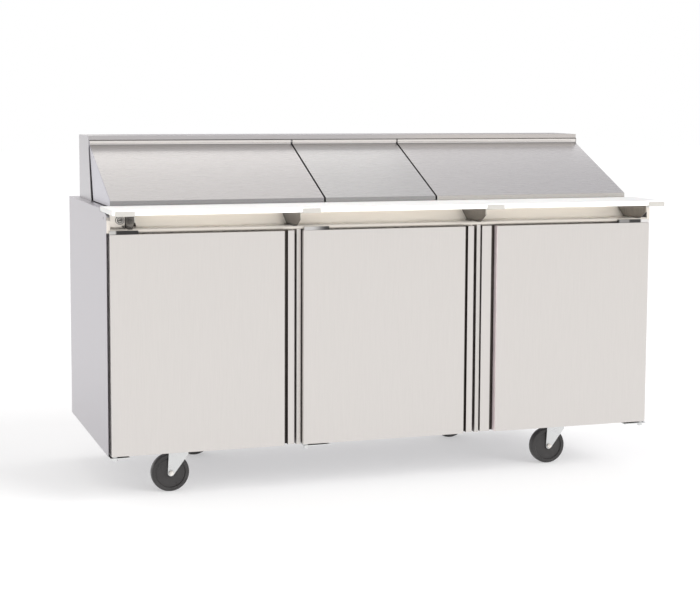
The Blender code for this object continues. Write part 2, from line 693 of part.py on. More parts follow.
# ---------------------------------------------------------------- refrigeration
def compressor():
    """Hermetic compressor: foot plate and a can with a domed lid."""
    centre = (COMPRESSOR["x"], COMPRESSOR["y"])
    radius = COMPRESSOR["radius"]
    floor = MACHINE_Z[0] + GAP
    foot = block(
        (centre[0] - 0.085, centre[0] + 0.085),
        (centre[1] - 0.060, centre[1] + 0.060),
        (floor, floor + 0.008),
    )
    dome = arc((0.004, 0.375), (radius - 0.004, 0.035), 0, 90, 5)
    profile = [(0.004, floor + 0.006), (radius - 0.006, floor + 0.006), (radius, floor + 0.020)]
    can = turned("z", centre, profile + dome, 24)
    core = rod("z", centre, 0.006, floor + 0.006, 0.410, 12)
    part("compressor", foot, "black enamel", fuse=[can, core])


def condenser():
    """Finned coil with its fan shroud and the motor on a cross strap."""
    x, z, coil = CONDENSER["x"], CONDENSER["z"], CONDENSER["coil"]
    fan = CONDENSER_FAN
    centre = (fan["x"], fan["z"])
    shroud = block(x, (0.655, coil[0] + 0.001), z)
    well = rod("y", centre, fan["radius"] + 0.006, 0.650, coil[0] - 0.002, 32)
    welds = [
        block((x[0], x[1]), (0.628, 0.634), (centre[1] - 0.012, centre[1] + 0.012)),
        block((x[0], x[0] + 0.006), (0.628, 0.660), (centre[1] - 0.012, centre[1] + 0.012)),
        block((x[1] - 0.006, x[1]), (0.628, 0.660), (centre[1] - 0.012, centre[1] + 0.012)),
        rod("y", centre, 0.030, 0.600, 0.658),
        block(x, coil, z),
    ]
    part("condenser", shroud, "coil aluminium", hollow=[well], fuse=welds)
    fan_rotor("condenser_fan", fan)


def fan_rotor(name, fan, blades=5, steps=60):
    """A fan seen end on: lobed blades round a hub, on a stub shaft."""
    outline = []
    for i in range(steps):
        turn = 2 * math.pi * i / steps
        lobe = max(0.0, math.cos(blades * turn)) ** 0.4
        radius = 0.026 + (fan["radius"] - 0.026) * lobe
        outline.append((fan["x"] + radius * math.cos(turn), fan["z"] + radius * math.sin(turn)))
    y0, y1 = fan["y"]
    centre = (fan["x"], fan["z"])
    blade = prism("y", outline, y0 + 0.004, y1 - 0.004)
    hub = rod("y", centre, 0.024, y0, y1)
    part(name, blade, "black enamel", fuse=[hub], origin=(fan["x"], y0, fan["z"]))


def evaporator():
    """Coil housing on the rear wall with a fan well and its motor."""
    fan = EVAPORATOR_FAN
    centre = (fan["x"], fan["z"])
    y0, y1 = EVAPORATOR["y"]
    housing = block(EVAPORATOR["x"], (y0, y1), EVAPORATOR["z"])
    mouth, motor = fan["radius"] + 0.007, 0.030
    motor_front, well_back = 0.634, 0.672
    ring = [(motor, motor_front - 0.001), (motor, well_back), (mouth, well_back)]
    ring += [(mouth, motor_front - 0.001)]
    wells = [rod("y", centre, mouth, y0 - 0.005, motor_front, 32), turned("y", centre, ring, 32)]
    part("evaporator", housing, "coil aluminium", cut=wells)
    fan_rotor("evaporator_fan", fan)


def rear_grille():
    """Slotted guard over the machine compartment, flush with the back."""
    (x0, x1), (z0, z1) = MACHINE_X, MACHINE_Z
    slack = 0.0006
    left, right = x0 + slack, x1 - slack
    bars = 3
    pitch = (right - left - 0.014) / (bars - 1)
    columns = [(left + pitch * i, left + pitch * i + 0.014) for i in range(bars)]
    low, high = z0 + slack, z1 - slack
    slats = 12
    rise = (high - low - 0.008) / (slats - 1)
    rows = [(low + rise * i, low + rise * i + 0.008) for i in range(slats)]
    shape = lattice(
        "y",
        steps_of(columns),
        steps_of(rows),
        lambda i, j: i % 2 == 0 or j % 2 == 0,
        BACK - 0.004,
        BACK - 0.001,
    )
    part("rear_grille", shape, "black enamel")


def cord_gland():
    """Strain relief under the rear wall where the supply lead leaves."""
    top = CABINET_BOTTOM - GAP
    profile = [(0.0045, top), (0.015, top), (0.015, top - 0.004), (0.011, top - 0.004)]
    profile += [(0.010, top - 0.014), (0.0045, top - 0.014)]
    part("cord_gland", turned("z", (1.300, 0.718), profile, 20), "black rubber")


def main():
    for obj in list(bpy.data.objects):
        bpy.data.objects.remove(obj, do_unlink=True)
    table = bpy.data.objects.new("table", None)
    bpy.context.scene.collection.objects.link(table)
    table.location = (-WIDTH / 2, -(FRONT + BACK) / 2, 0)

    side_panel("side_panel_left", 0, 1)
    side_panel("side_panel_right", WIDTH, -1)
    fascia()
    deck_frame()
    floor_panel()
    back_panel()
    for side in MULLIONS:
        mullion(side)
    shelves()
    for side in DOORS:
        door(side)
    cutting_board()
    for number, size in enumerate(BRACKETS, 1):
        board_bracket(number, size)
    lock()
    for side in LID_SPANS:
        lid(side)
    hood()
    food_pans()
    pan_grid()
    for place, (hub_x, y) in CASTERS.items():
        caster(place, hub_x, y)
    compressor()
    condenser()
    evaporator()
    rear_grille()
    cord_gland()


main()
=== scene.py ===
"""Looks of the refrigerated sandwich prep table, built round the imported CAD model.

Everything is in metres in the row frame: +X along the table, +Y from the doors to the
back, +Z up, with the origin on the floor under the middle of the table.
"""

import json
import math

import bpy
from mathutils import Matrix, Vector


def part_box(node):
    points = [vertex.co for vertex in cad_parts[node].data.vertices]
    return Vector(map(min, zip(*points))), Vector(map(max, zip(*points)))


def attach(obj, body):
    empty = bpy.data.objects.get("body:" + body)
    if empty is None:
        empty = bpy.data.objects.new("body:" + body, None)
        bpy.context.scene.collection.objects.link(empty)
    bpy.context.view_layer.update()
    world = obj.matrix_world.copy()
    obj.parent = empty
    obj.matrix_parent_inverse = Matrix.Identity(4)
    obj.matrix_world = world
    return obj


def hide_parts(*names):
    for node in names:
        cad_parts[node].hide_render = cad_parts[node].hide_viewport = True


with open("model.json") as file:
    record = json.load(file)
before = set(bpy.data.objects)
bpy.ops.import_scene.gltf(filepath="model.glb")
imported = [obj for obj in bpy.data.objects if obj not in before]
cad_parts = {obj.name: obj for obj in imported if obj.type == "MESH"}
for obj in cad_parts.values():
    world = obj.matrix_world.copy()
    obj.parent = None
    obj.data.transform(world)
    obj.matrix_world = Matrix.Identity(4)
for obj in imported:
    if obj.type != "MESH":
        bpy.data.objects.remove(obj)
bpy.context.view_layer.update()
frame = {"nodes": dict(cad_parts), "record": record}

NODES = frame["nodes"]
SIDES = ("left", "centre", "right")
PLACES = ("front_left", "front_right", "rear_left", "rear_right")
BRACKETS = (1, 2, 3, 4)
OPENINGS = {opening["name"]: opening["box_m"] for opening in frame["record"]["physics"]["openings"]}

# Camera at the photograph's viewing angle.
CAMERA_PLACE = (-1.7303, -5.0269, 1.2491)
CAMERA_YAW = math.radians(18.600)
CAMERA_DIP = math.radians(5.557)
CAMERA_ROLL = math.radians(0.2655)
CAMERA_LENS = 81.43
CAMERA_SHIFT = -0.0714


# ---------------------------------------------------------------- camera and lights
def add_camera():
    """Camera at the photograph's viewpoint, its axes built from yaw, dip and roll."""
    forward = Vector((
        math.sin(CAMERA_YAW) * math.cos(CAMERA_DIP),
        math.cos(CAMERA_YAW) * math.cos(CAMERA_DIP),
        -math.sin(CAMERA_DIP),
    ))
    level = Vector((math.cos(CAMERA_YAW), -math.sin(CAMERA_YAW), 0))
    upright = level.cross(forward)
    right = math.cos(CAMERA_ROLL) * level + math.sin(CAMERA_ROLL) * upright
    up = -math.sin(CAMERA_ROLL) * level + math.cos(CAMERA_ROLL) * upright
    turn = Matrix((right, up, -forward)).transposed().to_4x4()
    data = bpy.data.cameras.new("camera")
    data.lens = CAMERA_LENS
    data.shift_y = CAMERA_SHIFT
    data.clip_end = 100
    camera = bpy.data.objects.new("camera", data)
    bpy.context.scene.collection.objects.link(camera)
    camera.matrix_world = Matrix.Translation(CAMERA_PLACE) @ turn
    bpy.context.scene.camera = camera


def add_light(name, place, target, size, power, colour, mirrored=False, spread=180):
    """A soft rectangular light; it shows in reflections only if mirrored."""
    data = bpy.data.lights.new(name, "AREA")
    data.shape = "RECTANGLE"
    data.size, data.size_y = size
    data.spread = math.radians(spread)
    data.energy = power
    data.color = colour
    light = bpy.data.objects.new(name, data)
    bpy.context.scene.collection.objects.link(light)
    aim = Vector(target) - Vector(place)
    light.rotation_euler = aim.to_track_quat("-Z", "Y").to_euler()
    light.location = place
    light.visible_camera = False
    light.visible_glossy = mirrored


def add_sun(name, toward, strength, spread):
    """Broad soft daylight from one side, kept out of the reflections."""
    data = bpy.data.lights.new(name, "SUN")
    data.energy = strength
    data.angle = math.radians(spread)
    light = bpy.data.objects.new(name, data)
    bpy.context.scene.collection.objects.link(light)
    light.rotation_euler = Vector(toward).to_track_quat("Z", "Y").to_euler()
    light.visible_camera = False
    light.visible_glossy = False


# ---------------------------------------------------------------- shader nodes and surroundings
class Graph:
    """Shorthand for wiring shader nodes."""

    def __init__(self, tree):
        self.tree = tree

    def node(self, kind, **settings):
        node = self.tree.nodes.new("ShaderNode" + kind)
        for name, value in settings.items():
            setattr(node, name, value)
        return node

    def link(self, source, target):
        self.tree.links.new(source, target)

    def ranged(self, value, source, target, smooth=False):
        """Map a value from one pair of ends to another, clamped."""
        node = self.node("MapRange", interpolation_type="SMOOTHSTEP" if smooth else "LINEAR")
        for name, number in zip(("From Min", "From Max", "To Min", "To Max"), (*source, *target)):
            node.inputs[name].default_value = number
        self.link(value, node.inputs["Value"])
        return node.outputs["Result"]

    def maths(self, operation, first, second):
        """Sum, product or the like of two values, each a number or a socket."""
        node = self.node("Math", operation=operation)
        for socket, value in zip(node.inputs, (first, second)):
            if isinstance(value, (int, float)):
                socket.default_value = value
            else:
                self.link(value, socket)
        return node.outputs["Value"]

    def mixed(self, factor, first, second):
        """Blend of two colours, each a tuple or a socket."""
        node = self.node("Mix", data_type="RGBA")
        sockets = [s for s in node.inputs if s.type == "RGBA"]
        for socket, value in zip(sockets, (first, second)):
            if isinstance(value, tuple):
                socket.default_value = (*value, 1)
            else:
                self.link(value, socket)
        self.link(factor, node.inputs[0])
        return [s for s in node.outputs if s.type == "RGBA"][0]


def add_world():
    """Studio surround: bright sides, a grey overhead, a darker wall behind at the right.

    The camera itself sees plain white behind the object.
    """
    backdrop, far_wall = (0.60, 0.60, 0.63), (0.34, 0.34, 0.38)
    world = bpy.data.worlds.new("studio")
    bpy.context.scene.world = world
    world.use_nodes = True
    world.node_tree.nodes.clear()
    g = Graph(world.node_tree)
    coords, split = g.node("TexCoord"), g.node("SeparateXYZ")
    g.link(coords.outputs["Generated"], split.inputs[0])
    x, y, z = (split.outputs[i] for i in range(3))

    height = g.node("ValToRGB")
    horizon, overhead = height.color_ramp.elements
    horizon.color, horizon.position = (0.98, 0.965, 0.95, 1), 0.0
    overhead.color, overhead.position = (0.50, 0.50, 0.52, 1), 1.0
    height.color_ramp.elements.new(0.70).color = (0.98, 0.965, 0.955, 1)
    g.link(z, height.inputs["Fac"])

    behind = g.ranged(y, (0.0, 0.35), (0, 1), True)
    fall = g.maths("MULTIPLY", g.ranged(x, (0.16, 0.50), (0, 1), True), behind)
    sky = g.mixed(fall, height.outputs["Color"], backdrop)
    wall = g.maths("MULTIPLY", g.ranged(x, (0.13, 0.20), (0, 1), True), behind)
    wall = g.maths("MULTIPLY", wall, g.ranged(z, (0.22, 0.45), (1, 0), True))
    sky = g.mixed(wall, sky, far_wall)

    seen, path = g.node("Background"), g.node("LightPath")
    lit, both, out = g.node("Background"), g.node("MixShader"), g.node("OutputWorld")
    seen.inputs["Color"].default_value = (1, 1, 1, 1)
    g.link(sky, lit.inputs["Color"])
    g.link(path.outputs["Is Camera Ray"], both.inputs["Fac"])
    g.link(lit.outputs["Background"], both.inputs[1])
    g.link(seen.outputs["Background"], both.inputs[2])
    g.link(both.outputs["Shader"], out.inputs["Surface"])


def add_floor():
    """White paper floor that glows a little, so it fades into the background."""
    mesh = bpy.data.meshes.new("studio_floor")
    reach = 30
    corners = [(-reach, -reach, 0), (reach, -reach, 0), (reach, reach, 0), (-reach, reach, 0)]
    mesh.from_pydata(corners, [], [(0, 1, 2, 3)])
    floor = bpy.data.objects.new("studio_floor", mesh)
    bpy.context.scene.collection.objects.link(floor)
    paint = bpy.data.materials.new("floor_paper")
    paint.use_nodes = True
    shader = paint.node_tree.nodes["Principled BSDF"]
    shader.inputs["Base Color"].default_value = (0.60, 0.60, 0.60, 1)
    shader.inputs["Roughness"].default_value = 0.9
    shader.inputs["Specular IOR Level"].default_value = 0.0
    shader.inputs["Emission Color"].default_value = (1, 1, 1, 1)
    shader.inputs["Emission Strength"].default_value = 0.40
    mesh.materials.append(paint)


# ---------------------------------------------------------------- materials
MATERIALS = {}


class Paint(Graph):
    """One node material: a Principled shader with textures in the object's coordinates."""

    def __init__(self, name):
        material = bpy.data.materials.new(name)
        material.use_nodes = True
        MATERIALS[name] = material
        super().__init__(material.node_tree)
        self.shader = self.tree.nodes["Principled BSDF"]
        self.coords = self.node("TexCoord").outputs["Object"]

    def constant(self, **values):
        """Set shader sockets to plain values."""
        for name, value in values.items():
            self.shader.inputs[name.replace("_", " ")].default_value = value

    def place(self, axis):
        """Coordinate along one axis."""
        split = self.node("SeparateXYZ")
        self.link(self.coords, split.inputs[0])
        return split.outputs["xyz".index(axis)]

    def noise(self, scale, stretch=(1, 1, 1), detail=4.0, roughness=0.55):
        mapping, texture = self.node("Mapping"), self.node("TexNoise")
        mapping.inputs["Scale"].default_value = stretch
        texture.inputs["Scale"].default_value = scale
        texture.inputs["Detail"].default_value = detail
        texture.inputs["Roughness"].default_value = roughness
        self.link(self.coords, mapping.inputs["Vector"])
        self.link(mapping.outputs["Vector"], texture.inputs["Vector"])
        return texture.outputs["Fac"]

    def spread(self, value, low, high):
        """Map the range where noise mostly lies to low..high."""
        return self.ranged(value, (0.15, 0.85), (2 * low - high, 2 * high - low))

    def bump(self, height, strength, distance):
        node = self.node("Bump")
        node.inputs["Strength"].default_value = strength
        node.inputs["Distance"].default_value = distance
        self.link(height, node.inputs["Height"])
        self.link(node.outputs["Normal"], self.shader.inputs["Normal"])

    def feed(self, socket, value):
        self.link(value, self.shader.inputs[socket])


# Stretch of the noise that makes long scratches along an axis.
GRAIN = {"x": (1, 70, 70), "z": (70, 70, 1)}


def brushed_steel(name, colour, grain, roughness=0.32, contrast=0.05, shaded=(), metal=1.0,
                  metal_mask=None):
    """Satin stainless sheet: fine grain one way, in tone, gloss and relief.

    shaded lists (axis, start, end, colour) of painted light and shade: from start to end the tone changes
    to colour.
    metal_mask is (axis, start, end): from start to end the metalness goes from metal to 1.
    """
    paint = Paint(name)
    paint.constant(Metallic=metal)
    fine = paint.noise(12, GRAIN[grain], detail=5, roughness=0.65)
    dark = tuple(c * (1 - contrast) for c in colour)
    light = tuple(min(1.0, c * (1 + contrast)) for c in colour)
    sheet = paint.mixed(paint.ranged(fine, (0.25, 0.75), (0, 1)), dark, light)
    for axis, start, end, shade in shaded:
        edge = paint.ranged(paint.place(axis), (start, end), (0, 1), True)
        sheet = paint.mixed(edge, sheet, shade)
    if metal_mask:
        axis, start, end = metal_mask
        paint.feed("Metallic", paint.ranged(paint.place(axis), (start, end), (metal, 1)))
    paint.feed("Base Color", sheet)
    paint.feed("Roughness", paint.spread(fine, roughness - 0.02, roughness + 0.02))
    paint.bump(fine, 0.10, 0.0004)


def plated(name, colour, roughness, cell, metal=1.0):
    """Zinc or chrome plate: small spangles, a slight cloud in the gloss."""
    paint = Paint(name)
    paint.constant(Metallic=metal)
    cells = paint.node("TexVoronoi")
    cells.inputs["Scale"].default_value = cell
    paint.link(paint.coords, cells.inputs["Vector"])
    cloud = paint.noise(35, detail=4)
    spangle = paint.maths("MULTIPLY_ADD", cells.outputs["Distance"], 0.25)
    paint.link(cloud, spangle.node.inputs[2])
    dark = tuple(c * 0.88 for c in colour)
    paint.feed("Base Color", paint.mixed(paint.spread(spangle, 0, 1), dark, colour))
    paint.feed("Roughness", paint.spread(cloud, roughness - 0.08, roughness + 0.08))
    paint.bump(spangle, 0.12, 0.0005)


def moulded(name, colour, roughness, pebble, depth, variation=0.12):
    """Moulded plastic, rubber or enamel: fine pebbled texture, uneven gloss."""
    paint = Paint(name)
    grain = paint.noise(pebble, detail=3)
    cloud = paint.noise(18, detail=3)
    light = tuple(min(1.0, c * (1 + variation) + 0.002) for c in colour)
    dark = tuple(c * (1 - variation) for c in colour)
    paint.feed("Base Color", paint.mixed(paint.spread(cloud, 0, 1), dark, light))
    paint.feed("Roughness", paint.spread(cloud, roughness - 0.06, roughness + 0.08))
    paint.bump(grain, 0.3, depth)


def board_polymer():
    """White cutting board: faint knife marks, soft mottling and a satin face."""
    paint = Paint("board_polymer")
    paint.constant(Subsurface_Weight=0.05, Subsurface_Scale=0.01)
    marks = paint.noise(26, (1, 5, 1), detail=6, roughness=0.8)
    cloud = paint.noise(9, detail=3)
    tone = paint.mixed(paint.spread(cloud, 0, 1), (0.79, 0.79, 0.78), (0.84, 0.84, 0.83))
    paint.feed("Base Color", tone)
    paint.feed("Roughness", paint.spread(marks, 0.38, 0.56))
    paint.bump(marks, 0.15, 0.0006)


def sheet_steels():
    """Steel finishes, each with painted shade, highlights and reflections along the folds of its own node.
    """
    brushed_steel("door_steel", (0.695, 0.668, 0.645), "z", contrast=0.035)

    low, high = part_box("lid_left")
    # Lit and shaded copies of one steel, one per lid, each with its own painted front-lip tone.
    painted_lid_tones = (
        ("left", (0.645, 0.625, 0.615), (0.33, 0.325, 0.33)),
        ("centre", (0.64, 0.63, 0.62), (0.36, 0.355, 0.355)),
        ("right", (0.675, 0.655, 0.645), (0.55, 0.53, 0.505)),
    )
    for side, tone, lip in painted_lid_tones:
        brushed_steel(f"lid_steel_{side}", tone, "x", 0.28, contrast=0.025, shaded=[
            ("z", high.z - 0.026, high.z - 0.017, (0.40, 0.39, 0.39)),  # painted shade under the top flange
            ("z", high.z - 0.0131, high.z - 0.0127, (0.80, 0.77, 0.745)),  # painted highlight on the top flange
            ("x", low.x + 0.003, low.x + 0.001, (0.50, 0.49, 0.54)),  # painted shade and reflection tone on the left lid's left cheek, bluish
            ("y", low.y + 0.0016, low.y + 0.0008, lip),  # front lip: painted shade and reflection, dark on the left lid, pale on the right
        ])

    low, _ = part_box("fascia")
    nose_back = low.y + 0.030
    # Painted reflected light: the pale, mostly matte finish keeps the recess under the board bright, as
    # the board's lit underside would.
    brushed_steel(
        "fascia_steel", (0.93, 0.88, 0.81), "x", 0.34, metal=0.25,
        metal_mask=("z", low.z + 0.0150, low.z + 0.0135),
        shaded=[("y", nose_back, nose_back - 0.006, (0.53, 0.50, 0.455)),  # painted shade on the bullnose
                ("z", low.z + 0.0105, low.z - 0.001, (0.11, 0.09, 0.08))])  # painted shade at the bullnose's foot, where it turns under above the doors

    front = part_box("side_panel_left")[0].y
    brushed_steel("panel_steel", (0.505, 0.49, 0.515), "z", 0.36, shaded=[
        ("y", front + 0.005, front + 0.002, (0.90, 0.84, 0.77))])  # painted light: the front face beside the doors is pale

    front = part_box("mullion_left")[0].y
    brushed_steel("mullion_steel", (0.60, 0.58, 0.57), "z", 0.34, shaded=[
        ("y", front + 0.038, front + 0.034, (0.16, 0.14, 0.13)),  # painted shade in the gap beside the doors
        ("y", front + 0.004, front + 0.002, (0.67, 0.645, 0.62))])  # trim strip

    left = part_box("hood")[0].x
    brushed_steel("hood_steel", (0.490, 0.475, 0.480), "x", 0.32, shaded=[
        ("x", -0.05, 0.45, (0.575, 0.545, 0.525)),  # painted reflection, lighter towards the right half
        ("x", left + 0.004, left + 0.001, (0.50, 0.49, 0.51))])  # bluish painted reflection tone on the left end face

    # Where painted shade and painted highlights turn the top hinges' lips dark or pale: place, half the
    # blend, tone.
    left, centre, right = (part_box(f"hinge_top_{side}")[0].x for side in SIDES)
    painted_hinge_stops = [
        (left + 0.020, 0.003, 0.05), (centre - 0.05, 0.010, 0.62), (centre + 0.048, 0.026, 0.07),
        (right + 0.004, 0.002, 0.30), (right + 0.041, 0.004, 0.07), (right + 0.084, 0.003, 0.80),
    ]
    brushed_steel("hinge_steel", (0.58, 0.575, 0.56), "x", 0.30, contrast=0.12, shaded=[
        ("x", along - blend, along + blend, (tone, tone * 0.98, tone * 0.97))
        for along, blend, tone in painted_hinge_stops])

    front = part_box("board_bracket_2")[0].y
    # Painted shade under the board: each bracket's gusset is darkened by its own amount, the left one
    # most; the front lip stays pale.
    painted_bracket_shades = (0.055, 0.046, 0.042), (0.17, 0.16, 0.155), (0.20, 0.19, 0.18), (0.24, 0.225, 0.21)
    for number, tone in zip(BRACKETS, painted_bracket_shades):
        brushed_steel(f"bracket_steel_{number}", tone, "z", 0.24, contrast=0.35, shaded=[
            ("y", front + 0.006, front + 0.003, (0.74, 0.72, 0.68))])  # front lip


def make_materials():
    """Every finish of the model, in MATERIALS by its name."""
    sheet_steels()
    # Near-black sheet that stands for painted shade in the pull grooves.
    moulded("shadow_polymer", (0.045, 0.036, 0.032), 0.6, 500, 0.0002)
    # Painted reflected light: pale mauve for the lit wall of the right door's pull groove.
    moulded("groove_wall", (0.84, 0.735, 0.75), 0.4, 300, 0.0002, 0.04)
    plated("zinc", (0.72, 0.73, 0.73), 0.36, 220)
    moulded("wheel_polymer", (0.036, 0.034, 0.034), 0.38, 900, 0.0003)
    board_polymer()
    moulded("gasket_rubber", (0.035, 0.035, 0.037), 0.55, 700, 0.0003)
    plated("lock_chrome", (0.85, 0.82, 0.78), 0.24, 300, metal=0.45)
    plated("screw_dark", (0.10, 0.09, 0.09), 0.35, 300)
    # Near-black for the painted shade of the lock's gaps and keyway.
    moulded("keyway_dark", (0.02, 0.018, 0.016), 0.5, 900, 0.0001)
    moulded("coated_wire", (0.72, 0.73, 0.72), 0.35, 500, 0.0002, 0.03)
    moulded("black_enamel", (0.018, 0.018, 0.020), 0.38, 400, 0.0003)
    brushed_steel("coil_aluminium", (0.72, 0.73, 0.74), "z", 0.42)
    plated("copper", (0.75, 0.42, 0.28), 0.30, 150)
    moulded("liner_white", (0.74, 0.745, 0.74), 0.40, 300, 0.0002, 0.03)


def paint_cad_nodes():
    """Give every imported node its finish, by its record slot unless it has its own."""
    own = {"fascia": "fascia_steel", "hood": "hood_steel"}
    own["mullion_left"] = own["mullion_right"] = "mullion_steel"
    for side in SIDES:
        own[f"lid_{side}"] = f"lid_steel_{side}"
        own[f"hinge_top_{side}"] = "hinge_steel"
    for number in BRACKETS:
        own[f"board_bracket_{number}"] = f"bracket_steel_{number}"
    slots = {s["node"]: s["material_slot"] for s in frame["record"]["subparts"]}
    for name, node in NODES.items():
        node.data.materials.clear()
        node.data.materials.append(MATERIALS[own.get(name, slots[name])])


def soften_edges(names, width, segments=2):
    """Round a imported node's edges as folded sheet and moulded parts really are."""
    for name in names:
        node = NODES[name]
        weld = node.modifiers.new("weld", "WELD")
        weld.merge_threshold = 0.00002
        flat = node.modifiers.new("flat", "DECIMATE")
        flat.decimate_type = "DISSOLVE"
        flat.angle_limit = math.radians(1)
        bevel = node.modifiers.new("bevel", "BEVEL")
        bevel.width = width
        bevel.segments = segments
        bevel.limit_method = "ANGLE"
        bevel.angle_limit = math.radians(35)
        bevel.harden_normals = True
        bevel.use_clamp_overlap = True


# ---------------------------------------------------------------- mesh building
def around(centre, radius, turn):
    """Two coordinates of the point at a turn, in radians, on a circle."""
    return centre[0] + radius * math.cos(turn), centre[1] + radius * math.sin(turn)


def middle(low, high, axes):
    """Middle of a box along the named axes."""
    return tuple((getattr(low, axis) + getattr(high, axis)) / 2 for axis in axes)


def turned_to(axis, u, v, w):
    """Point with w along the axis, and u and v across it in x, y, z order."""
    return {"x": (w, u, v), "y": (u, w, v), "z": (u, v, w)}[axis]


class Shape:
    """Faces collected for one piece."""

    def __init__(self):
        self.points = []
        self.faces = []

    def grid(self, rows, ends=True):
        """Skin a list of rings; ends closes the first and last ring with a face."""
        first, width = len(self.points), len(rows[0])
        for row in rows:
            self.points += [tuple(p) for p in row]
        for i in range(len(rows) - 1):
            for j in range(width):
                a, b = first + i * width + j, first + i * width + (j + 1) % width
                self.faces.append((a, b, b + width, a + width))
        if ends:
            self.faces.append(tuple(reversed(range(first, first + width))))
            last = first + (len(rows) - 1) * width
            self.faces.append(tuple(range(last, last + width)))
        return self

    def prism(self, axis, outline, start, end):
        """Outline pulled along the axis from start to end."""
        rows = [[turned_to(axis, u, v, w) for u, v in outline] for w in (start, end)]
        return self.grid(rows)

    def box(self, low, high):
        outline = [(low[0], low[1]), (high[0], low[1]), (high[0], high[1]), (low[0], high[1])]
        return self.prism("z", outline, low[2], high[2])

    def turned(self, axis, centre, profile, steps, closed=False):
        """Lathe a profile of (radius, along) round an axis through centre."""
        rows = []
        turns = [2 * math.pi * k / steps for k in range(steps)]
        for radius, along in profile:
            rows.append([turned_to(axis, *around(centre, radius, turn), along) for turn in turns])
        if closed:
            rows.append(rows[0])
        return self.grid(rows, ends=not closed)

    def hexagon(self, axis, centre, radius, start, end):
        turns = [math.pi / 3 * k for k in range(6)]
        return self.prism(axis, [around(centre, radius, turn) for turn in turns], start, end)

    def tube(self, path, radius, sides=10):
        """Round wire along a path of points."""
        path = [Vector(p) for p in path]
        rows, side = [], None
        for i, place in enumerate(path):
            ahead = (path[min(i + 1, len(path) - 1)] - path[max(i - 1, 0)]).normalized()
            if side is None:
                side = ahead.orthogonal().normalized()
            side = (side - ahead * side.dot(ahead)).normalized()
            other = ahead.cross(side)
            turns = [2 * math.pi * k / sides for k in range(sides)]
            rows.append([place + radius * (math.cos(t) * side + math.sin(t) * other) for t in turns])
        return self.grid(rows)

    def ring_sweep(self, profile, x0, x1, z0, z1, y):
        """Sweep a profile of (inset, forward) round a rectangle with mitred corners."""
        rows = []
        for inset, forward in profile:
            corners = [(x0 + inset, z0 + inset), (x1 - inset, z0 + inset)]
            corners += [(x1 - inset, z1 - inset), (x0 + inset, z1 - inset)]
            rows.append([(u, y + forward, v) for u, v in corners])
        rows.append(rows[0])
        return self.grid(rows, ends=False)

    def piece(self, name, material, body, slot, bevel=0.0, replaces=(), smooth=35):
        """Make the faces one mesh that rides on a body; smooth is the shading angle."""
        mesh = bpy.data.meshes.new(name)
        mesh.from_pydata(self.points, [], self.faces)
        mesh.validate()
        mesh.materials.append(MATERIALS[material])
        for face in mesh.polygons:
            face.use_smooth = True
        obj = bpy.data.objects.new(name, mesh)
        bpy.context.scene.collection.objects.link(obj)
        fix = obj.modifiers.new("weld", "WELD")
        fix.merge_threshold = 0.00001
        if bevel:
            edge = obj.modifiers.new("bevel", "BEVEL")
            edge.width = bevel
            edge.segments = 2
            edge.limit_method = "ANGLE"
            edge.angle_limit = math.radians(40)
        mesh.set_sharp_from_angle(angle=math.radians(smooth))
        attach(obj, body)
        if replaces:
            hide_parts(*replaces)


# ---------------------------------------------------------------- detail pieces
def side_screws():
    """Two small countersunk screws through the top of each side panel's nose."""
    rings = [
        (0.0045, -0.0010), (0.0045, 0.0), (0.0041, 0.0002),
        (0.0022, 0.0002), (0.0018, -0.0008), (0.0002, -0.0009),
    ]
    for side, outward in (("left", -1), ("right", 1)):
        low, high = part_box(f"side_panel_{side}")
        face = low.x if outward < 0 else high.x
        shape = Shape()
        for behind_front in (0.0599, 0.0059):
            centre = (low.y + behind_front, high.z - 0.0256)
            shape.turned("x", centre, [(r, face + outward * h) for r, h in rings], 24)
        shape.piece(f"side_screws_{side}", "screw_dark", "root", "zinc")


def lock_face():
    """Chamfered bezel, the plug's face, dark rings of painted shade in the gaps round them, and a dark
    inlay of painted shade for the keyway.
    """
    low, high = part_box("lock_bezel")
    centre, radius, face = middle(low, high, "xz"), (high.x - low.x) / 2, low.y
    plug_low, plug_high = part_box("lock_plug")
    plug, front = (plug_high.x - plug_low.x) / 2, plug_low.y
    rim = plug + 0.0012
    axis_hole = 0.0004

    Shape().turned("y", centre, [
        (rim, high.y), (radius, high.y), (radius, face + 0.0011), (radius - 0.0008, face + 0.0003),
        (radius - 0.0028, face), (rim + 0.0012, face + 0.0004), (rim, face + 0.0014),
    ], 56, closed=True).piece(
        "lock_bezel_ring", "lock_chrome", "root", "lock_chrome", replaces=("lock_bezel",))

    Shape().turned("y", centre, [
        (axis_hole, front), (plug - 0.0006, front), (plug, front + 0.0006), (plug, plug_high.y),
        (axis_hole, plug_high.y),
    ], 40).piece(
        "lock_plug_face", "lock_chrome", "lock_core", "lock_chrome", replaces=("lock_plug",))

    # Painted shade: dark rings in the gap round the plug and round the bezel's edge.
    seams = Shape().turned("y", centre, [
        (plug - 0.0010, front - 0.0002), (rim + 0.0006, front - 0.0002),
        (rim + 0.0006, front + 0.0022), (plug - 0.0010, front + 0.0022),
    ], 48, closed=True)
    seams.turned("y", centre, [
        (radius - 0.0004, face + 0.0006), (radius + 0.0010, face + 0.0020),
        (radius + 0.0010, high.y), (radius - 0.0002, high.y),
    ], 56, closed=True)
    seams.piece("lock_seams", "keyway_dark", "root", "lock_chrome")

    # Painted shade: a dark inlay on the plug's face stands for the keyway's hollow.
    half, tall, lean = 0.0019, plug * 0.76, math.radians(-78)
    upright = [
        (-half, -tall), (half, -tall), (half, -0.0008), (half * 1.9, 0.0012),
        (half, tall), (-half, tall), (-half * 1.9, 0.0008), (-half, -0.0012),
    ]
    outline = []
    for u, v in upright:
        x = centre[0] + u * math.cos(lean) - v * math.sin(lean)
        z = centre[1] + u * math.sin(lean) + v * math.cos(lean)
        outline.append((x, z))
    Shape().prism("y", outline, front - 0.0002, front + 0.0010).piece(
        "lock_keyway", "keyway_dark", "lock_core", "lock_chrome")


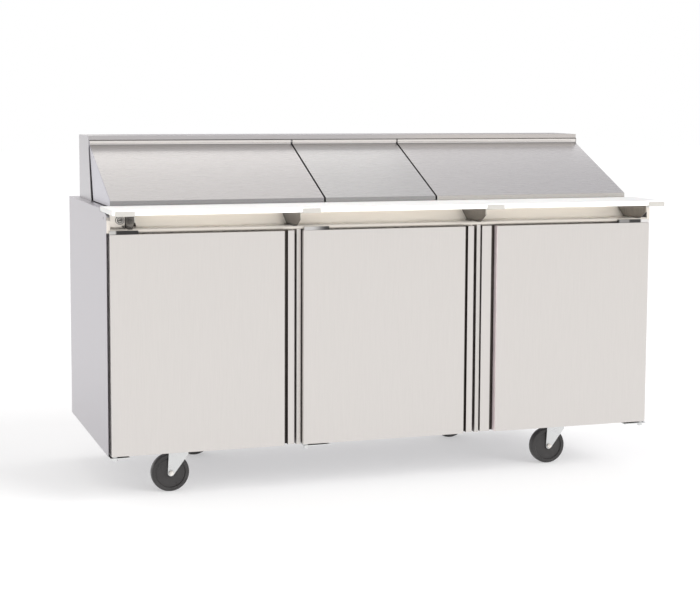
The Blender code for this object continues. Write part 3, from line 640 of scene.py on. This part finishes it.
def pull_channel(side):
    """Dark sheet in a door's pull groove, painted shade for its hollow.

    On the right door one wall of it stops short, and a pale hemmed strip takes over.
    """
    low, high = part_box(f"door_{side}")
    bottom, top = low.z + 0.0004, high.z - 0.0004
    # The record's opening keeps clear of the groove's walls.
    clearance = 0.0004
    opening_low, opening_high = OPENINGS[f"door_pull_{side}"]
    x0, x1 = opening_low[0] - clearance, opening_high[0] + clearance
    floor = low.y + 0.030
    gap, skin, body = 0.0001, 0.0004, f"door_{side}_leaf"
    mouth = floor - 0.0145
    short = floor - 0.006 if side == "right" else mouth
    outline = [
        (x0 + gap, mouth), (x0 + gap, floor - gap), (x1 - gap, floor - gap), (x1 - gap, short),
        (x1 - skin, short), (x1 - skin, floor - skin), (x0 + skin, floor - skin), (x0 + skin, mouth),
    ]
    Shape().prism("z", outline, bottom, top).piece(
        f"pull_channel_{side}", "shadow_polymer", body, "door_steel")

    if side == "right":
        edge, wall, back = low.y + 0.0012, x1 - gap, floor - 0.0063
        hem = wall - 0.0010
        strip = [
            (wall - skin, back), (wall, back), (wall, edge), (hem, edge),
            (hem, edge + 0.0008), (wall - skin, edge + 0.0012),
        ]
        Shape().prism("z", strip, bottom, top).piece("pull_wall_right", "groove_wall", body, "door_steel")


def bellows_gasket(side):
    """Door seal with a folded lip, mitred round the door's back."""
    low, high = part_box(f"gasket_{side}")
    lip = [
        (0.0, 0.0), (0.0, 0.0030), (0.0016, 0.0042), (0.0006, 0.0056), (0.0012, 0.0080),
        (0.0040, 0.0094), (0.0090, 0.0094), (0.0126, 0.0082), (0.0134, 0.0056),
        (0.0124, 0.0042), (0.0140, 0.0030), (0.0140, 0.0),
    ]
    Shape().ring_sweep(lip, low.x, high.x, low.z, high.z, low.y).piece(
        f"bellows_gasket_{side}", "gasket_rubber", f"door_{side}_leaf", "gasket_rubber",
        replaces=(f"gasket_{side}",), smooth=50)


def door_liner(side):
    """Embossed liner on the door's back, inside the seal."""
    low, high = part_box(f"gasket_{side}")
    inner, back = 0.016, low.y - 0.0002
    rows = []
    for inset, forward in ((0.0, 0.0), (0.0, 0.0032), (0.004, 0.0042), (0.030, 0.0042), (0.036, 0.0012)):
        a, b = low.x + inner + inset, high.x - inner - inset
        c, d = low.z + inner + inset, high.z - inner - inset
        y = back + forward
        rows.append([(a, y, c), (b, y, c), (b, y, d), (a, y, d)])
    Shape().grid(rows).piece(
        f"door_liner_{side}", "liner_white", f"door_{side}_leaf", "door_steel", bevel=0.0012)


def wire_shelf(side):
    """Coated wire shelf: a border wire with round corners, two runners and close bars."""
    low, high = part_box(f"shelf_{side}")
    border, bar, corner, pitch = 0.0030, 0.0017, 0.012, 0.022
    x0, x1, y0, y1 = low.x + border, high.x - border, low.y + border, high.y - border
    z, top = low.z + border, high.z - bar
    path = []
    for cx, cy, start in ((x1 - corner, y1 - corner, 0), (x0 + corner, y1 - corner, 90),
                          (x0 + corner, y0 + corner, 180), (x1 - corner, y0 + corner, 270)):
        for k in range(6):
            path.append((*around((cx, cy), corner, math.radians(start + 18 * k)), z))
    shape = Shape().tube([*path, path[0]], border)
    for part in (0.33, 0.67):
        y = y0 + (y1 - y0) * part
        shape.tube([(x0, y, z), (x1, y, z)], border * 0.9)
    bars = round((x1 - x0) / pitch)
    for k in range(1, bars):
        x = x0 + (x1 - x0) * k / bars
        ends = [(x, y0 - 0.001, z), (x, y0 + 0.001, top), (x, y1 - 0.001, top), (x, y1 + 0.001, z)]
        shape.tube(ends, bar, 8)
    shape.piece(f"wire_shelf_{side}", "coated_wire", "root", "coated_wire",
                replaces=(f"shelf_{side}",), smooth=60)


def fan(node, body):
    """Five pitched blades on a domed hub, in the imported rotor's own space."""
    low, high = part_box(node)
    centre, reach, hub = middle(low, high, "xz"), (high.x - low.x) / 2, 0.0235
    shape = Shape().turned("y", centre, [
        (0.0005, low.y), (hub * 0.6, low.y + 0.0005), (hub - 0.003, low.y + 0.002),
        (hub, low.y + 0.005), (hub, high.y), (0.0005, high.y),
    ], 40)
    y_low, y_high, thickness = low.y + 0.0045, high.y - 0.0045, 0.0011
    blades, stations, chords = 5, 8, 6
    for blade in range(blades):
        skins = []
        for offset in (0.0, thickness):
            rows = []
            for i in range(stations + 1):
                part = i / stations
                radius = hub - 0.001 + (reach - hub) * part
                half = math.radians(27 + 5 * math.sin(math.pi * part)) * (1 - 0.25 * part ** 3)
                sweep = math.radians(14) * part
                row = []
                for j in range(chords + 1):
                    across = j / chords
                    turn = 2 * math.pi * blade / blades + sweep + half * (2 * across - 1)
                    lift = across + 0.12 * math.sin(math.pi * across)
                    y = y_low + (y_high - y_low - 0.0015) * min(1.0, lift) + offset
                    x, z = around(centre, radius, turn)
                    row.append((x, y, z))
                rows.append(row)
            skins.append(rows)
        shape.grid([front + back[::-1] for front, back in zip(*skins)])
    shape.piece(f"{node}_blades", "black_enamel", body, "black_enamel", replaces=(node,), smooth=40)


def condenser_fins():
    """Upright fins on the condenser's rear face, with six tubes through them."""
    low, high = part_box("condenser")
    edge, fins, tubes = 0.006, 64, 6
    shape = Shape()
    for k in range(fins):
        x = low.x + edge + (high.x - low.x - 2 * edge) * k / (fins - 1)
        shape.box((x - 0.0003, high.y - 0.0002, low.z + edge), (x + 0.0003, high.y + 0.004, high.z - edge))
    for k in range(tubes):
        z = low.z + 0.020 + (high.z - low.z - 0.040) * k / (tubes - 1)
        shape.tube([(low.x + 0.004, high.y + 0.001, z), (high.x - 0.004, high.y + 0.001, z)], 0.0035, 12)
    shape.piece("condenser_fins", "coil_aluminium", "root", "coil_aluminium")


def evaporator_guard():
    """Wire guard of rings and four spokes in front of the evaporator's fan."""
    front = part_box("evaporator")[0].y - 0.002
    low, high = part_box("evaporator_fan")
    hub = middle(low, high, "xz")
    shape = Shape()
    for radius in (0.020, 0.036, 0.052, 0.068):
        ring = [around(hub, radius, math.radians(turn)) for turn in range(0, 361, 12)]
        shape.tube([(x, front, z) for x, z in ring], 0.0012, 8)
    for k in range(4):
        x, z = around(hub, (high.x - low.x) / 2 + 0.010, math.radians(45 + 90 * k))
        shape.tube([(hub[0], front, hub[1]), (x, front, z)], 0.0014, 8)
    shape.piece("evaporator_guard", "coated_wire", "root", "coated_wire", smooth=60)


def evaporator_louvres():
    """Nine air slats beside the evaporator's fan."""
    low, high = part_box("evaporator")
    left, right = low.x + 0.030, middle(*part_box("evaporator_fan"), "x")[0] - 0.105
    shape = Shape()
    for k in range(9):
        z = low.z + 0.030 + k * (high.z - low.z - 0.060) / 8
        shape.box((left, low.y - 0.003, z - 0.001), (right, low.y + 0.0003, z + 0.0035))
    shape.piece("evaporator_louvres", "coil_aluminium", "root", "coil_aluminium", bevel=0.0008)


def can_radius():
    """Radius of the compressor's round can, above its feet."""
    low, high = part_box("compressor")
    x, y = middle(low, high, "xy")
    points = [vertex.co for vertex in NODES["compressor"].data.vertices]
    return max(math.hypot(p.x - x, p.y - y) for p in points if p.z > low.z + 0.05)


def compressor_fittings():
    """Weld band, terminal box and mounting grommets."""
    low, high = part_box("compressor")
    x, y = middle(low, high, "xy")
    can, seam = can_radius(), low.z + (high.z - low.z) * 0.55
    shape = Shape().turned("z", (x, y), [
        (can - 0.001, seam - 0.004), (can + 0.0016, seam - 0.003),
        (can + 0.0016, seam + 0.003), (can - 0.001, seam + 0.004),
    ], 56, closed=True)
    shape.box((x - 0.022, y - can - 0.018, seam - 0.030), (x + 0.022, y - can + 0.006, seam + 0.014))
    grommet = [(0.0005, 0.008), (0.009, 0.008), (0.009, 0.012), (0.0065, 0.015), (0.0005, 0.015)]
    for sx in (-1, 1):
        for sy in (-1, 1):
            spot = (x + sx * 0.072, y + sy * 0.048)
            shape.turned("z", spot, [(radius, low.z + rise) for radius, rise in grommet], 24)
    shape.piece("compressor_fittings", "black_enamel", "root", "black_enamel", bevel=0.001)


def copper_lines():
    """Two copper lines from the compressor to the condenser, each with one loop."""
    low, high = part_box("compressor")
    x, y = middle(low, high, "xy")
    can, condenser_left = can_radius(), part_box("condenser")[0].x
    loop, drift, steps = 0.018, 0.004, 24
    shape = Shape()
    for rise, away, reach in ((0.075, 0.030, 0.0), (0.030, -0.022, 0.03)):
        start = Vector((x + can - 0.002, y + away, low.z + rise + 0.02))
        corner = Vector(((x + can + condenser_left) / 2, y + away, start.z))
        path = [start, start + Vector((0.012, 0, 0))]
        for k in range(steps + 1):
            turn = 2 * math.pi * k / steps
            path.append(corner + Vector((
                loop * math.sin(turn), drift * k / steps, loop * (1 - math.cos(turn)))))
        path.append(Vector((condenser_left - 0.001, y + away + drift, start.z + reach)))
        shape.tube(path, 0.0032, 12)
    shape.piece("copper_lines", "copper", "root", "zinc", smooth=60)


def caster_tyre(place):
    """Smooth lathe-turned wheel with a raised rim."""
    low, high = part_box(f"caster_wheel_{place}")
    radius, half, y = (high.z - low.z) / 2, (high.y - low.y) / 2, (low.y + high.y) / 2
    tread = half - 0.001
    side = [
        (0.0056, half), (0.0150, half), (0.0165, half - 0.0015), (0.0440, tread - 0.0046),
        (0.0462, tread - 0.0040), (0.0480, tread - 0.0004), (0.0500, tread), (0.0535, tread - 0.0002),
        (radius - 0.0040, tread - 0.0006), (radius - 0.0014, tread - 0.0024),
        (radius - 0.0003, tread - 0.0060), (radius, tread - 0.0100),
    ]
    profile = [(r, y - a) for r, a in side] + [(r, y + a) for r, a in reversed(side)]
    Shape().turned("y", middle(low, high, "xz"), profile, 72, closed=True).piece(
        f"tyre_{place}", "wheel_polymer", f"wheel_{place}", "wheel_polymer",
        replaces=(f"caster_wheel_{place}",), smooth=28)


def axle_nuts(place):
    """Washer, hex nut and stud end on the outside of both fork legs."""
    centre = middle(*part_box(f"caster_wheel_{place}"), "xz")
    low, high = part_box(f"caster_fork_{place}")
    washer = [(0.0005, 0.0), (0.0078, 0.0), (0.0078, 0.0008), (0.0005, 0.0008)]
    stud = [(0.0005, 0.0), (0.0030, 0.0), (0.0030, 0.0050), (0.0024, 0.0055), (0.0005, 0.0055)]
    shape = Shape()
    for outward, end in ((-1, low.y), (1, high.y)):
        leg = end - outward * 0.0030
        shape.turned("y", centre, [(r, leg + outward * h) for r, h in washer], 28)
        shape.hexagon("y", centre, 0.0064, leg + outward * 0.0008, leg + outward * 0.0038)
        shape.turned("y", centre, [(r, leg + outward * h) for r, h in stud], 20)
    shape.piece(f"axle_nuts_{place}", "lock_chrome", f"fork_{place}", "zinc", bevel=0.0004)


def plate_bolts(place):
    """Four hex bolts under a caster's top plate."""
    low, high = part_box(f"caster_plate_{place}")
    x, y = middle(low, high, "xy")
    under = high.z - 0.003
    shape = Shape()
    for sx in (-1, 1):
        for sy in (-1, 1):
            spot = (x + sx * 0.041, y + sy * 0.031)
            shape.hexagon("z", spot, 0.0055, under - 0.0038, under + 0.0002)
    shape.piece(f"plate_bolts_{place}", "zinc", "root", "zinc", bevel=0.0004)


def rear_screws():
    """Domed screws with driver sockets that hold the rear panel and the grille."""
    low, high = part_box("back_panel")
    g_low, g_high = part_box("rear_grille")
    spots = []
    for k in range(8):
        x = low.x + 0.030 + (high.x - low.x - 0.060) * k / 7
        spots += [(x, z, high.y - 0.0020, 0.0040) for z in (high.z - 0.030, low.z + 0.024)]
    for x in (g_low.x + 0.007, g_high.x - 0.007):
        for part in (0.06, 0.5, 0.94):
            spots.append((x, g_low.z + (g_high.z - g_low.z) * part, g_high.y - 0.0004, 0.0034))
    dome = [(1, 0), (1, 0.3), (0.8, 0.75), (0.45, 1.0), (0.38, 1.0), (0.30, 0.45), (0.02, 0.35)]
    shape = Shape()
    for x, z, face, radius in spots:
        shape.turned("y", (x, z), [(radius * r, face + radius * 0.55 * h) for r, h in dome], 20)
    shape.piece("rear_screws", "screw_dark", "root", "zinc")


# ---------------------------------------------------------------- the scene
make_materials()
add_camera()
add_world()
add_floor()
add_sun("daylight", (1.15, -1.2, 0.95), 2.1, 38)
add_light("low_fill", (0.0, -4.2, 0.74), (0, 0, 0.86), (5.0, 0.35), 9.5, (1, 0.99, 0.98), spread=24)
add_light("lid_panel_left", (-0.35, 0.95, 1.60), (-0.35, 0.95, 0), (1.7, 0.6), 5.5, (1, 0.985, 0.97),
          mirrored=True)
add_light("lid_panel_right", (1.15, 0.95, 1.60), (1.15, 0.95, 0), (1.5, 0.6), 2.6, (1, 0.985, 0.98),
          mirrored=True)
bpy.context.scene.view_settings.view_transform = "Standard"
paint_cad_nodes()
soften_edges(["hood", "deck_frame", "side_panel_left", "side_panel_right"], 0.0012)
soften_edges([f"lid_{side}" for side in SIDES], 0.0008)
soften_edges([f"door_{side}" for side in SIDES], 0.0010)
soften_edges(["cutting_board"], 0.0018, 3)
soften_edges([f"board_bracket_{number}" for number in BRACKETS], 0.0005)
soften_edges([f"caster_plate_{place}" for place in PLACES], 0.0008)
soften_edges(["rear_grille", "floor_panel", "back_panel"], 0.0006)
side_screws()
lock_face()
for side in SIDES:
    pull_channel(side)
    bellows_gasket(side)
    door_liner(side)
for side in SIDES:
    wire_shelf(side)
fan("condenser_fan", "condenser_rotor")
fan("evaporator_fan", "evaporator_rotor")
condenser_fins()
evaporator_guard()
evaporator_louvres()
compressor_fittings()
copper_lines()
for place in PLACES:
    caster_tyre(place)
    axle_nuts(place)
    plate_bolts(place)
rear_screws()
